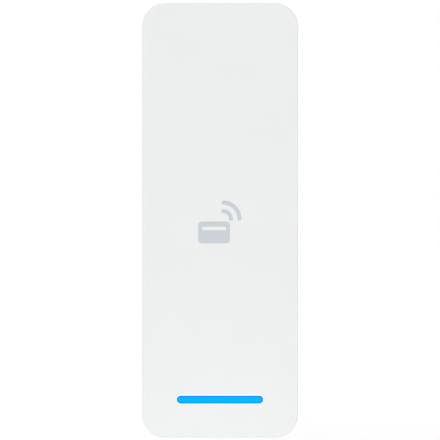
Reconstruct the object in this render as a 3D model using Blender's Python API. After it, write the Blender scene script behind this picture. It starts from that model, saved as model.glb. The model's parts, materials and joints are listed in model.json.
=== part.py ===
"""A slim wall-mounted card reader, built from the separate pieces it comes apart into.

Frame: metres, +Z up, +X to the right as seen from the front. The wall is the plane y = 0 and the
reader stands out from it towards -Y. The origin is the centre of the wall plate's back face.

Outlines are drawn in the (x, z) plane and given a front and a back y, where front is the more
negative one. The reader hangs on the wall plate's two hooks and swings out from it at the bottom.
"""

import math

import bmesh
import bpy
from mathutils import Matrix, Vector


def mm(*values):
    """Millimetres as metres: one number, or a tuple of several."""
    metres = tuple(value / 1000 for value in values)
    return metres if len(metres) > 1 else metres[0]


# Driving dimensions of the casing
BODY_WIDTH = mm(47)
BODY_HEIGHT = mm(131)
BODY_DEPTH = mm(21.5)
CORNER_RADIUS = mm(7.0)
FRONT_EDGE_RADIUS = mm(0.5)
WALL = mm(2.0)
GAP = mm(0.3)  # between pieces that rest on each other
FINE_GAP = mm(0.1)  # between small pieces that fit closely
OVERLAP = mm(0.5)  # of joined shapes, and how far a cutter runs past a face

# Depths, from the front face back to the wall
FRONT_Y = -BODY_DEPTH
COVER_INSIDE_Y = FRONT_Y + WALL
SEAM_Y = mm(-8.0)  # front edge of the rear housing
TONGUE_Y = mm(-11.0)  # tip of the lip that reaches into the cover
GROOVE_FRONT_Y = mm(-10.2)  # the gasket's groove around that lip
GROOVE_BACK_Y = mm(-9.2)
FLOOR_FRONT_Y = mm(-6.5)
FLOOR_BACK_Y = mm(-4.7)
RIM_Y = mm(-0.3)  # rear rim of the housing, just clear of the wall

# The lit bar near the bottom of the face
BAR_WIDTH = mm(26.0)
BAR_HEIGHT = mm(2.3)
BAR_Z = mm(-53.95)

# Boards
BOARD_FRONT_Y = mm(-16.2)
BOARD_BACK_Y = mm(-15.0)
BOARD_HALF_WIDTH = mm(20.6)
BOARD_TOP_Z = mm(55.8)
BOARD_BOTTOM_Z = mm(-12.0)
FRONT_PARTS_Y = BOARD_FRONT_Y - GAP  # feet of what is soldered to the front
BACK_PARTS_Y = BOARD_BACK_Y + GAP  # feet of what is soldered to the back
LED_BOARD_FRONT_Y = mm(-14.5)
LED_BOARD_BACK_Y = mm(-13.5)

# Fastener places, as (x, z)
HOUSING_SCREWS = [mm(x, z) for x in (-16.4, 16.4) for z in (-59.2, 59.2)]
BOARD_SCREWS = [mm(*place) for place in ((-17.5, 52.5), (17.5, 52.5), (-18.2, -9.0), (18.2, -9.0))]
LED_BOARD_SCREWS = [mm(x, -49.2) for x in (-9.4, 9.4)]

# The well in the back that takes the network plug and the bend of its cable
WELL_HALF_WIDTH = mm(10.5)
WELL_TOP_Z = mm(-14.4)
WELL_BOTTOM_Z = mm(-46.0)
WELL_FLOOR_Y = mm(-16.2)
WELL_WALL = mm(1.5)
WELL_FRONT_WALL = mm(1.4)

# Network socket, whose mouth faces down into the well with its latch side to the wall
JACK_HALF_WIDTH = mm(8.0)
JACK_FRONT_Y = mm(-17.1)
JACK_BACK_Y = mm(-6.8)
JACK_MOUTH_Z = mm(-11.7)
JACK_TOP_Z = mm(3.3)
PLUG_HALF_WIDTH = mm(5.95)
PLUG_FRONT_Y = mm(-15.6)
PLUG_BACK_Y = mm(-8.9)
LATCH_BACK_Y = mm(-7.4)
CONTACT_PITCH = mm(1.02)

# What passes through the housing floor, as (x, z)
RESET_PLACE = mm(12.8, -4.5)
TAMPER_PLACE = mm(17.2, 30.0)
VENT_PLACE = mm(-15.6, -30.0)
FLOOR_HOLE_RADIUS = mm(1.8)  # for the button and the plunger

# Wall plate
PLATE_THICKNESS = mm(1.0)
PLATE_HALF_WIDTH = mm(20.3)
PLATE_TOP_Z = mm(60.0)
PLATE_BOTTOM_Z = mm(-60.9)
PLATE_CORNER_RADIUS = mm(5.0)
WALL_SCREW_SPACING = mm(83.3)
HOOK_X = mm(9.0)
HOOK_WIDTH = mm(7.0)
HOOK_REACH = mm(3.8)  # from the wall to the middle of the upturned lip
HOOK_TOP_Z = mm(62.6)
FLANGE_WIDTH = mm(13.0)
FLANGE_REACH = mm(7.4)

# The reader swings about its rim's upper edge, where it rests against the wall
SWING_AXIS = mm(0, -0.5, 64.0)

# Security screw, upright under the flange
LOCK_Y = mm(-3.9)
LOCK_HEAD_RADIUS = mm(2.75)
LOCK_SHANK_RADIUS = mm(1.45)

SHELL_SEGMENTS = 8  # in each quarter circle of the casing's outline
SMALL_SEGMENTS = 5
SMOOTH_ANGLE = math.radians(32)


# --- Materials -------------------------------------------------------------------------------

MATERIAL_VALUES = {  # name: (linear colour, roughness, metallic)
    "white_plastic": ((0.84, 0.86, 0.85), 0.42, 0.0),
    "lit_blue": ((0.0, 0.42, 1.0), 0.25, 0.0),
    "frosted_plastic": ((0.80, 0.86, 0.90), 0.50, 0.0),
    "black_plastic": ((0.02, 0.02, 0.022), 0.50, 0.0),
    "circuit_board": ((0.01, 0.11, 0.05), 0.45, 0.0),
    "antenna_film": ((0.42, 0.22, 0.06), 0.40, 0.0),
    "copper": ((0.80, 0.36, 0.20), 0.30, 1.0),
    "ferrite": ((0.05, 0.05, 0.05), 0.65, 0.0),
    "tin_plate": ((0.62, 0.62, 0.60), 0.35, 1.0),
    "gold_plate": ((0.85, 0.60, 0.22), 0.25, 1.0),
    "led_package": ((0.85, 0.84, 0.76), 0.35, 0.0),
    "grey_silicone": ((0.16, 0.17, 0.18), 0.70, 0.0),
    "capacitor_sleeve": ((0.03, 0.04, 0.10), 0.35, 0.0),
    "ribbon": ((0.75, 0.77, 0.80), 0.40, 0.0),
    "label": ((0.55, 0.56, 0.58), 0.45, 0.0),
    "membrane": ((0.80, 0.80, 0.78), 0.80, 0.0),
    "stainless_steel": ((0.56, 0.56, 0.55), 0.34, 1.0),
    "zinc_steel": ((0.60, 0.62, 0.64), 0.30, 1.0),
    "spring_steel": ((0.50, 0.50, 0.50), 0.25, 1.0),
}


def material(name):
    """The named material, made the first time that it is asked for."""
    found = bpy.data.materials.get(name)
    if found:
        return found
    colour, roughness, metallic = MATERIAL_VALUES[name]
    made = bpy.data.materials.new(name)
    made.use_nodes = True
    made.diffuse_color = (*colour, 1.0)
    shader = made.node_tree.nodes["Principled BSDF"]
    shader.inputs["Base Color"].default_value = (*colour, 1.0)
    shader.inputs["Roughness"].default_value = roughness
    shader.inputs["Metallic"].default_value = metallic
    return made


# --- Outlines --------------------------------------------------------------------------------


def rounded_rect(width, height, radius, segments=SMALL_SEGMENTS, centre=(0, 0)):
    """A rounded rectangle, anticlockwise."""
    points = []
    for quarter, (side_u, side_v) in enumerate(((1, 1), (-1, 1), (-1, -1), (1, -1))):
        middle_u = centre[0] + side_u * (width / 2 - radius)
        middle_v = centre[1] + side_v * (height / 2 - radius)
        for step in range(segments + 1):
            angle = math.pi / 2 * (quarter + step / segments)
            points.append((middle_u + radius * math.cos(angle), middle_v + radius * math.sin(angle)))
    # where a side has no straight stretch, two arcs share their end points
    return [point for i, point in enumerate(points) if math.dist(point, points[i - 1]) > mm(0.001)]


def circle(radius, segments=16, centre=(0, 0)):
    """A circle, anticlockwise."""
    turns = [2 * math.pi * step / segments for step in range(segments)]
    return [(centre[0] + radius * math.cos(a), centre[1] + radius * math.sin(a)) for a in turns]


def rounded_path(corners, radius, segments=4):
    """An open line through corners, with each inner corner turned into an arc."""
    points = [Vector(corners[0])]
    for before, corner, after in zip(corners, corners[1:], corners[2:]):
        corner = Vector(corner)
        arriving = (corner - Vector(before)).normalized()
        leaving = (Vector(after) - corner).normalized()
        turn = arriving.angle_signed(leaving)
        start = corner - arriving * radius * math.tan(abs(turn) / 2)
        towards_centre = (leaving - arriving).normalized()
        centre = corner + towards_centre * radius / math.cos(turn / 2)
        for step in range(segments + 1):
            # mathutils counts signed angles clockwise, so the spoke turns the other way
            spoke = Matrix.Rotation(-turn * step / segments, 2) @ (start - centre)
            points.append(centre + spoke)
    points.append(Vector(corners[-1]))
    return points


def strip(path, thickness):
    """The outline of a strip of even thickness that follows an open line."""
    path = [Vector(point) for point in path]
    left, right = [], []
    for i, point in enumerate(path):
        arriving = (point - path[max(i - 1, 0)]).normalized()
        leaving = (path[min(i + 1, len(path) - 1)] - point).normalized()
        along = (arriving + leaving).normalized()
        aside = Vector((-along.y, along.x))
        # wider at a bend, so that the strip keeps its thickness there
        straight = leaving if arriving.length == 0 else arriving
        reach = thickness / 2 / max(aside.dot(Vector((-straight.y, straight.x))), 0.5)
        left.append(tuple(point + aside * reach))
        right.append(tuple(point - aside * reach))
    return left + right[::-1]


def star(outer, inner, points=6, steps=3):
    """A rounded six-lobe outline, as in a Torx recess."""
    middle, swing = (outer + inner) / 2, (outer - inner) / 2
    total = points * 2 * steps
    outline = []
    for step in range(total):
        angle = 2 * math.pi * step / total
        radius = middle + swing * math.cos(points * angle)
        outline.append((radius * math.cos(angle), radius * math.sin(angle)))
    return outline


# --- Solids ----------------------------------------------------------------------------------


def finish(name, mesh_data, surface, location=(0, 0, 0)):
    """Turns a bmesh into an object with its material and smooth round faces."""
    bmesh.ops.recalc_face_normals(mesh_data, faces=mesh_data.faces)
    mesh = bpy.data.meshes.new(name)
    mesh_data.to_mesh(mesh)
    mesh_data.free()
    mesh.materials.append(material(surface))
    mesh.shade_smooth()
    mesh.set_sharp_from_angle(angle=SMOOTH_ANGLE)
    made = bpy.data.objects.new(name, mesh)
    made.location = location
    bpy.context.scene.collection.objects.link(made)
    return made


AXIS_TURNS = {
    # (u, v, along) of an outline and its extrusion to (x, y, z)
    "X": lambda u, v, along: (along, u, v),
    "Y": lambda u, v, along: (u, along, v),
    "Z": lambda u, v, along: (u, v, along),
}


def prism(name, outline, start, end, surface, axis="Y", holes=(), at=(0, 0)):
    """An outline with holes, extruded from start to end along an axis. at moves it in its plane."""
    place = AXIS_TURNS[axis]
    solid = bmesh.new()
    edges = []
    for loop in (outline, *holes):
        points = [solid.verts.new(place(u, v, 0)) for u, v in loop]
        edges += [solid.edges.new((points[i - 1], points[i])) for i in range(len(points))]
    bmesh.ops.triangle_fill(solid, use_beauty=True, edges=edges)
    raised = bmesh.ops.extrude_face_region(solid, geom=solid.faces[:])["geom"]
    top = [item for item in raised if isinstance(item, bmesh.types.BMVert)]
    bmesh.ops.translate(solid, verts=top, vec=place(0, 0, end - start))
    return finish(name, solid, surface, place(at[0], at[1], start))


def block(name, low, high, surface, bevel=0.0, segments=1):
    """A box between two corners, its edges rounded by a Bevel."""
    low, high = Vector(low), Vector(high)
    solid = bmesh.new()
    bmesh.ops.create_cube(solid, size=1, matrix=Matrix.Diagonal((*(high - low), 1)))
    made = finish(name, solid, surface, (low + high) / 2)
    if bevel:
        rounding = made.modifiers.new("Rounded edges", "BEVEL")
        rounding.width = bevel
        rounding.segments = segments
    return made


def loft(name, rings, surface, closed=False):
    """A solid through rings of points. It is capped at both ends, or closed into a loop."""
    solid = bmesh.new()
    loops = [[solid.verts.new(point) for point in ring] for ring in rings]
    pairs = list(zip(loops, loops[1:]))
    if closed:
        pairs.append((loops[-1], loops[0]))
    else:
        solid.faces.new(loops[0])
        solid.faces.new(loops[-1])
    for near, far in pairs:
        for i in range(len(near)):
            solid.faces.new((near[i - 1], near[i], far[i], far[i - 1]))
    return finish(name, solid, surface)


def turned(name, profile, location, surface, axis="Y", segments=16):
    """A turned piece. The profile is a line of (radius, distance along the axis) points, closed
    into a ring unless it starts and ends on the axis."""
    place = AXIS_TURNS[axis]
    solid = bmesh.new()
    points = [solid.verts.new(place(radius, 0, along)) for radius, along in profile]
    edges = [solid.edges.new(pair) for pair in zip(points, points[1:])]
    if profile[0][0] > 0:
        edges.append(solid.edges.new((points[-1], points[0])))
    bmesh.ops.spin(
        solid,
        geom=points + edges,
        cent=(0, 0, 0),
        axis=place(0, 0, 1),
        angle=2 * math.pi,
        steps=segments,
        use_merge=True,
    )
    bmesh.ops.remove_doubles(solid, verts=solid.verts, dist=mm(0.001))
    return finish(name, solid, surface, location)


def rod(name, radius, start, end, surface, axis="Y", at=(0, 0), segments=16):
    """A plain cylinder."""
    return prism(name, circle(radius, segments), start, end, surface, axis, at=at)


def attach(child, parent):
    """Makes child follow parent from where both now are."""
    child.parent = parent
    child.matrix_parent_inverse = Matrix.Translation(-parent.location)


def boolean(target, operation, tools):
    """Adds a Boolean for each tool, and hides the tools."""
    for tool in tools:
        attach(tool, target)
        modifier = target.modifiers.new(tool.name, "BOOLEAN")
        modifier.operation = operation
        modifier.solver = "EXACT"
        modifier.object = tool
        tool.hide_render = True
        tool.display_type = "WIRE"


def join(target, *shapes):
    boolean(target, "UNION", shapes)


def cut(target, *cutters):
    boolean(target, "DIFFERENCE", cutters)


def casing_ring(inset, y):
    """The casing's outline, moved in by inset, at depth y."""
    outline = rounded_rect(
        BODY_WIDTH - 2 * inset,
        BODY_HEIGHT - 2 * inset,
        CORNER_RADIUS - inset,
        SHELL_SEGMENTS,
    )
    return [(x, y, z) for x, z in outline]


def bar_ring(grow, y):
    """The lit bar's outline with full round ends, grown on all sides, at depth y."""
    height = BAR_HEIGHT + 2 * grow
    outline = rounded_rect(BAR_WIDTH + 2 * grow, height, height / 2, SMALL_SEGMENTS, (0, BAR_Z))
    return [(x, y, z) for x, z in outline]


# --- Casing ----------------------------------------------------------------------------------


def front_cover():
    """The deep front shell, with four screw bosses and the slot for the lit bar."""
    seam = SEAM_Y - GAP
    chamfer = mm(0.2)
    inner_radius = mm(0.6)
    profile = [
        (WALL + inner_radius, COVER_INSIDE_Y),
        (WALL, COVER_INSIDE_Y + inner_radius),
        (WALL, seam),
        (chamfer, seam),
        (0, seam - chamfer),
    ]
    steps = 4
    for step in range(steps + 1):
        angle = math.pi / 2 * step / steps
        profile.append(
            (
                FRONT_EDGE_RADIUS * (1 - math.cos(angle)),
                FRONT_Y + FRONT_EDGE_RADIUS * (1 - math.sin(angle)),
            )
        )
    cover = loft("front_cover", [casing_ring(inset, y) for inset, y in profile], "white_plastic")

    boss_radius, pilot_radius = mm(2.6, 1.15)
    boss_root = COVER_INSIDE_Y - WALL / 2
    boss_end = FLOOR_FRONT_Y - mm(0.5)
    pilot_floor = COVER_INSIDE_Y + mm(2.5)
    for number, at in enumerate(HOUSING_SCREWS, 1):
        boss = rod(f"cover_boss_{number}", boss_radius, boss_root, boss_end, "white_plastic", at=at)
        join(cover, boss)
    for number, at in enumerate(HOUSING_SCREWS, 1):
        pilot = rod(f"cover_pilot_{number}", pilot_radius, pilot_floor, 0, "white_plastic", at=at)
        cut(cover, pilot)

    slot_rings = [bar_ring(FINE_GAP, y) for y in (FRONT_Y - WALL, COVER_INSIDE_Y + WALL)]
    cut(cover, loft("bar_slot", slot_rings, "white_plastic"))
    return cover


def rear_housing():
    """The tray that closes the cover: a floor with the plate's recess behind it, a lip that reaches
    into the cover, the plug well, the flange pocket and every post and hole."""
    lip_outer = WALL + GAP
    lip_inner = lip_outer + mm(1.3)
    groove = lip_outer + mm(0.5)
    rear_chamfer, seam_chamfer = mm(0.5, 0.2)
    profile = [
        (WALL, FLOOR_BACK_Y),
        (WALL, RIM_Y),
        (rear_chamfer, RIM_Y),
        (0, RIM_Y - rear_chamfer),
        (0, SEAM_Y + seam_chamfer),
        (seam_chamfer, SEAM_Y),
        (lip_outer, SEAM_Y),
        (lip_outer, GROOVE_BACK_Y),
        (groove, GROOVE_BACK_Y),
        (groove, GROOVE_FRONT_Y),
        (lip_outer, GROOVE_FRONT_Y),
        (lip_outer, TONGUE_Y),
        (lip_inner, TONGUE_Y),
        (lip_inner, FLOOR_FRONT_Y),
    ]
    housing = loft("rear_housing", [casing_ring(inset, y) for inset, y in profile], "white_plastic")
    add_plug_well(housing)
    add_flange_pocket(housing)
    add_hook_rib(housing)
    add_board_posts(housing)

    through = (FLOOR_FRONT_Y - OVERLAP, FLOOR_BACK_Y + OVERLAP)
    for number, at in enumerate(HOUSING_SCREWS, 1):
        cut(housing, rod(f"screw_hole_{number}", mm(1.4), *through, "white_plastic", at=at, segments=12))
    for label, at, radius in (
        ("reset_hole", RESET_PLACE, FLOOR_HOLE_RADIUS),
        ("tamper_hole", TAMPER_PLACE, FLOOR_HOLE_RADIUS),
        ("vent_hole", VENT_PLACE, mm(0.9)),
    ):
        cut(housing, rod(label, radius, *through, "white_plastic", at=at))
    return housing


def add_hook_rib(housing):
    """The rib that hangs behind the upturned lips of the wall plate's hooks."""
    half_width = HOOK_X + mm(5)
    lowest = PLATE_TOP_Z + mm(0.4)
    highest = BODY_HEIGHT / 2 - WALL + OVERLAP
    low = (-half_width, mm(-2.4), lowest)
    high = (half_width, mm(-1.5), highest)
    join(housing, block("hook_rib", low, high, "white_plastic"))


def add_board_posts(housing):
    """A post with a pilot hole for each screw of both boards."""
    pilot_radius, pilot_floor = mm(0.95, -7.5)
    posts = []
    for label, places, board_y, radius in (
        ("board_post", BOARD_SCREWS, BOARD_BACK_Y, mm(2.2)),
        ("led_post", LED_BOARD_SCREWS, LED_BOARD_BACK_Y, mm(1.8)),
    ):
        posts += [(f"{label}_{number}", at, board_y, radius) for number, at in enumerate(places, 1)]
    root = FLOOR_FRONT_Y + OVERLAP
    for label, at, board_y, radius in posts:
        join(housing, rod(label, radius, board_y + GAP, root, "white_plastic", at=at, segments=12))
    for label, at, board_y, radius in posts:
        ends = (board_y - GAP, pilot_floor)
        cut(housing, rod(f"{label}_pilot", pilot_radius, *ends, "white_plastic", at=at, segments=10))


def add_plug_well(housing):
    """The deep well that is open to the wall, with the port for the plug in its top wall."""
    middle = (WELL_TOP_Z + WELL_BOTTOM_Z) / 2
    inner_height = WELL_TOP_Z - WELL_BOTTOM_Z
    outer_width, outer_height = 2 * (WELL_HALF_WIDTH + WELL_WALL), inner_height + 2 * WELL_WALL
    outer = rounded_rect(outer_width, outer_height, mm(2.5), centre=(0, middle))
    inner = rounded_rect(2 * WELL_HALF_WIDTH, inner_height, mm(1.5), centre=(0, middle))
    well_front = WELL_FLOOR_Y - WELL_FRONT_WALL
    join(housing, prism("well_walls", outer, well_front, FLOOR_FRONT_Y + OVERLAP, "white_plastic"))
    cut(housing, prism("well_space", inner, WELL_FLOOR_Y, FLOOR_BACK_Y + OVERLAP, "white_plastic"))
    margin = mm(0.25)
    port_low = (-PLUG_HALF_WIDTH - margin, PLUG_FRONT_Y - margin, WELL_TOP_Z - OVERLAP)
    port_high = (PLUG_HALF_WIDTH + margin, LATCH_BACK_Y + margin, WELL_TOP_Z + WELL_WALL + OVERLAP)
    cut(housing, block("plug_port", port_low, port_high, "white_plastic"))


def add_flange_pocket(housing):
    """The pocket around the wall plate's flange, and the pad that the security screw clamps."""
    walls_low = (mm(-10), mm(-10.4), mm(-62.5))
    walls_high = (mm(10), FLOOR_FRONT_Y + OVERLAP, mm(-55.3))
    join(housing, block("pocket_walls", walls_low, walls_high, "white_plastic"))
    space_low = (mm(-8.5), mm(-9.0), mm(-61.5))
    space_high = (mm(8.5), FLOOR_BACK_Y + OVERLAP, mm(-56.8))
    cut(housing, block("pocket_space", space_low, space_high, "white_plastic"))
    pad_low = (mm(-5.5), mm(-7.0), mm(-64.0))
    pad_high = (mm(5.5), RIM_Y - mm(0.2), mm(-61.5))
    join(housing, block("screw_pad", pad_low, pad_high, "white_plastic"))

    # Both notches are open towards the wall, so that the loosened screw slides out of them
    for label, radius, low, high in (
        ("head_notch", mm(3.1), mm(-67.0), mm(-62.8)),
        ("shank_notch", mm(1.8), mm(-63.5), mm(-61.0)),
    ):
        arc = [
            (radius * math.cos(angle), LOCK_Y + radius * math.sin(angle))
            for angle in (math.pi + math.pi * step / 10 for step in range(11))
        ]
        outline = arc + [(radius, mm(1.0)), (-radius, mm(1.0))]
        cut(housing, prism(label, outline, low, high, "white_plastic", axis="Z"))


def body_gasket():
    """The seal around the housing's lip, in its groove."""
    outer, inner = WALL + FINE_GAP, WALL + mm(0.7)
    front, back = mm(-10.1), mm(-9.3)
    corners = ((outer, front), (outer, back), (inner, back), (inner, front))
    rings = [casing_ring(inset, y) for inset, y in corners]
    return loft("body_gasket", rings, "grey_silicone", closed=True)


def housing_trim():
    """The vent's membrane on the inside of the floor and the blank label on its back."""
    membrane_back = FLOOR_FRONT_Y - FINE_GAP
    rod("vent_membrane", mm(3.0), membrane_back - mm(0.4), membrane_back, "membrane", at=VENT_PLACE)
    label = rounded_rect(mm(30), mm(22), mm(1.0), 3, centre=mm(0, 22))
    prism("rating_label", label, FLOOR_BACK_Y + FINE_GAP, FLOOR_BACK_Y + mm(0.25), "label")


# --- Light bar -------------------------------------------------------------------------------


def light_bar():
    """The lens in the cover's slot, the guide and baffle behind it, and the lamps on their board."""
    flange_back = mm(-18.4)
    flange_front = COVER_INSIDE_Y + GAP
    flange_grow = mm(1.4)
    edge = mm(0.15)
    profile = [
        (flange_grow, flange_back),
        (flange_grow, flange_front),
        (0, flange_front),
        (0, FRONT_Y + edge),
        (-edge, FRONT_Y),
    ]
    loft("light_bar_lens", [bar_ring(grow, y) for grow, y in profile], "lit_blue")

    guide_back = mm(-15.8)
    guide_outline = rounded_rect(mm(26.6), mm(3.0), mm(0.6), 3, centre=(0, BAR_Z))
    prism("light_guide", guide_outline, flange_back + GAP, guide_back, "frosted_plastic")

    window = rounded_rect(mm(27.2), mm(3.6), mm(0.8), 3, centre=(0, BAR_Z))
    frame = rounded_rect(mm(31.0), mm(5.6), mm(0.8), 3, centre=(0, mm(-53.6)))
    baffle_back = LED_BOARD_FRONT_Y - GAP
    prism("light_baffle", frame, flange_back + GAP, baffle_back, "black_plastic", holes=[window])

    board = rounded_rect(mm(30.6), mm(8.4), mm(1.0), 2, centre=(0, mm(-52.1)))
    holes = [circle(mm(1.1), 10, at) for at in LED_BOARD_SCREWS]
    prism("led_board", board, LED_BOARD_FRONT_Y, LED_BOARD_BACK_Y, "circuit_board", holes=holes)
    half = mm(0.8)
    for number in range(1, 5):
        x = mm(6.5) * (number - 2.5)
        low = (x - half, mm(-15.3), BAR_Z - half)
        high = (x + half, LED_BOARD_FRONT_Y - FINE_GAP, BAR_Z + half)
        block(f"led_{number}", low, high, "led_package", bevel=mm(0.1))


# --- Electronics -----------------------------------------------------------------------------


def antenna():
    """The card antenna behind the middle of the face: its film, its coil and the ferrite sheet."""
    film = rounded_rect(mm(39), mm(46), mm(2), 3)
    prism("antenna_board", film, COVER_INSIDE_Y + mm(0.2), mm(-18.9), "antenna_film")

    turns, pitch = 4, mm(1.5)
    half_width, half_height = mm(18.0), mm(21.5)
    corners = [(-half_width, -half_height)]
    for turn in range(turns):
        inset = turn * pitch
        corners += [
            (half_width - inset, -half_height + inset),
            (half_width - inset, half_height - inset),
            (-half_width + inset, half_height - inset),
            (-half_width + inset, -half_height + inset + pitch),
        ]
    coil = strip(rounded_path(corners, mm(1.4), 3), mm(0.7))
    prism("antenna_coil", coil, mm(-18.8), mm(-18.65), "copper")

    sheet = rounded_rect(mm(38), mm(45), mm(2), 3)
    prism("ferrite_sheet", sheet, mm(-18.5), mm(-18.1), "ferrite")


def main_board():
    """The main circuit board, notched at the bottom for the network socket."""
    notch_half_width = JACK_HALF_WIDTH + mm(0.4)
    notch_top = JACK_TOP_Z + mm(0.4)
    outline = [
        (-BOARD_HALF_WIDTH, BOARD_BOTTOM_Z),
        (-notch_half_width, BOARD_BOTTOM_Z),
        (-notch_half_width, notch_top),
        (notch_half_width, notch_top),
        (notch_half_width, BOARD_BOTTOM_Z),
        (BOARD_HALF_WIDTH, BOARD_BOTTOM_Z),
        (BOARD_HALF_WIDTH, BOARD_TOP_Z),
        (-BOARD_HALF_WIDTH, BOARD_TOP_Z),
    ]
    holes = [circle(mm(1.1), 10, at) for at in BOARD_SCREWS]
    prism("main_board", outline, BOARD_FRONT_Y, BOARD_BACK_Y, "circuit_board", holes=holes)


# Plain packages: name, centre (x, z), size (x, z), height off the board, material. A front one
# stands on the board's front side, the others on its back.
FRONT_PACKAGES = (
    ("rf_shield", (-6, 38), (20, 17), 1.0, "tin_plate"),
    ("bluetooth_antenna", (13, 52.8), (3.2, 1.6), 0.9, "led_package"),
)
BACK_PACKAGES = (
    ("processor_chip", (8.5, 13), (11, 11), 0.9, "black_plastic"),
    ("memory_chip", (7.5, 27), (8, 9.5), 0.9, "black_plastic"),
    ("ethernet_magnetics", (-11, 10), (12.5, 9.2), 5.0, "black_plastic"),
    ("power_transformer", (-11.5, 25), (13, 13), 7.0, "ferrite"),
    ("power_inductor", (-9, 47.5), (7, 7), 4.0, "ferrite"),
    ("main_flex_connector", (13.7, -10.6), (3.4, 2.2), 1.2, "led_package"),
)


def packages():
    """The plain packages of both sides, and the lamp board's connector."""
    bevel = mm(0.25)
    for sign, feet, rows in ((-1, FRONT_PARTS_Y, FRONT_PACKAGES), (1, BACK_PARTS_Y, BACK_PACKAGES)):
        for name, centre, size, height, surface in rows:
            middle = Vector((mm(centre[0]), feet + sign * mm(height) / 2, mm(centre[1])))
            half = Vector((mm(size[0]) / 2, mm(height) / 2, mm(size[1]) / 2))
            block(name, middle - half, middle + half, surface, bevel=bevel)
    low = (mm(11.9), LED_BOARD_BACK_Y + GAP, mm(-52.6))
    high = (mm(15.2), LED_BOARD_BACK_Y + mm(1.4), mm(-50.4))
    block("led_flex_connector", low, high, "led_package", bevel=mm(0.2))


def capacitors():
    """Two round capacitors, each with a crimped shoulder near its base."""
    radius, height = mm(3.15), mm(7.0)
    profile = [
        (0, 0),
        (radius, 0),
        (radius, mm(1.0)),
        (radius - mm(0.3), mm(1.3)),
        (radius, mm(1.6)),
        (radius, height - mm(0.3)),
        (radius - mm(0.3), height),
        (0, height),
    ]
    for number, x in enumerate(mm(-15.5, -8.0), 1):
        turned(f"capacitor_{number}", profile, (x, BACK_PARTS_Y, mm(37)), "capacitor_sleeve")


def buzzer():
    """The round sounder, with the sound hole in its face."""
    radius, height, hole, depth = mm(6.2), mm(5.0), mm(1.1), mm(1.5)
    profile = [
        (0, 0),
        (radius, 0),
        (radius, height - mm(0.4)),
        (radius - mm(0.4), height),
        (hole, height),
        (hole, height - depth),
        (0, height - depth),
    ]
    turned("buzzer", profile, (mm(11.5), BACK_PARTS_Y, mm(44.5)), "black_plastic", segments=20)


def flex_cable():
    """The flat cable beside the well, from the main board's connector to the lamp board's."""
    main_y = BACK_PARTS_Y + mm(0.6)
    led_y = LED_BOARD_BACK_Y + mm(0.8)
    path = rounded_path(
        [
            (main_y, mm(-12.0)),
            (main_y, mm(-18.0)),
            (mm(-10.5), mm(-26.0)),
            (mm(-10.5), mm(-38.0)),
            (led_y, mm(-44.0)),
            (led_y, mm(-50.1)),
        ],
        mm(3.0),
        3,
    )
    prism("flex_cable", strip(path, mm(0.2)), mm(12.4), mm(15.0), "ribbon", axis="X")


def network_socket():
    """The socket that faces down into the well, its eight contacts and the seal under its mouth."""
    jack = block(
        "rj45_jack",
        (-JACK_HALF_WIDTH, JACK_FRONT_Y, JACK_MOUTH_Z),
        (JACK_HALF_WIDTH, JACK_BACK_Y, JACK_TOP_Z),
        "tin_plate",
        bevel=mm(0.25),
    )
    mouth = JACK_MOUTH_Z - OVERLAP
    deepest = JACK_MOUTH_Z + mm(12.5)
    latch_half_width, latch_tip_half_width = mm(3.1, 1.7)
    latch_step_y = LATCH_BACK_Y - mm(0.6)
    # The wide step takes the plug, and the two narrower ones its latch
    steps = (
        (PLUG_HALF_WIDTH, PLUG_FRONT_Y, PLUG_BACK_Y),
        (latch_half_width, PLUG_BACK_Y - OVERLAP, latch_step_y),
        (latch_tip_half_width, latch_step_y - OVERLAP, LATCH_BACK_Y),
    )
    for number, (half_width, front, back) in enumerate(steps, 1):
        low, high = (-half_width, front, mouth), (half_width, back, deepest)
        cut(jack, block(f"jack_step_{number}", low, high, "tin_plate"))

    rail_low = (mm(-4.9), mm(-15.4), mm(-10.6))
    rail_high = (mm(4.9), mm(-14.8), mm(-9.4))
    contacts = block("jack_contacts", rail_low, rail_high, "gold_plate")
    spring = strip([mm(-15.1, -10.0), mm(-15.0, -9.0), mm(-13.5, -3.5), mm(-13.5, -2.0)], mm(0.25))
    half = mm(0.2)
    for number in range(8):
        x = CONTACT_PITCH * (number - 3.5)
        ends = (x - half, x + half)
        join(contacts, prism(f"contact_{number + 1}", spring, *ends, "gold_plate", axis="X"))

    outer = rounded_rect(mm(15.4), mm(9.6), mm(0.8), 2, centre=mm(0, -11.9))
    inner = rounded_rect(mm(12.8), mm(8.4), mm(0.4), 2, centre=mm(0, -11.7))
    seal_low = WELL_TOP_Z + WELL_WALL + GAP
    prism("jack_gasket", outer, seal_low, JACK_MOUTH_Z - GAP, "grey_silicone", axis="Z", holes=[inner])


# --- Moving buttons --------------------------------------------------------------------------


def switch(name, place, half_size, back, bore_radius):
    """A square switch on the main board, with the blind bore that its actuator moves in."""
    x, z = place
    low = (x - half_size, BACK_PARTS_Y, z - half_size)
    body = block(name, low, (x + half_size, back, z + half_size), "black_plastic")
    floor = BACK_PARTS_Y + mm(0.4)
    bore = rod(f"{name}_bore", bore_radius, floor, back + GAP, "black_plastic", at=place, segments=12)
    cut(body, bore)


def reset_button():
    """The button in the back, the switch it presses and the switch's own actuator."""
    x, z = RESET_PLACE
    switch("reset_switch", RESET_PLACE, mm(2.2), mm(-12.9), mm(1.2))
    rod("reset_actuator", mm(1.0), mm(-13.8), mm(-12.4), "led_package", at=RESET_PLACE, segments=12)

    stem, collar, cap = mm(1.2), mm(2.4), mm(1.6)
    profile = [
        (0, 0),
        (stem, 0),
        (stem, mm(4.5)),
        (collar, mm(4.5)),
        (collar, mm(5.5)),
        (cap, mm(5.5)),
        (cap, mm(7.5)),
        (cap - mm(0.3), mm(7.8)),
        (0, mm(7.8)),
    ]
    turned("reset_button", profile, (x, mm(-12.3), z), "grey_silicone")


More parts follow.
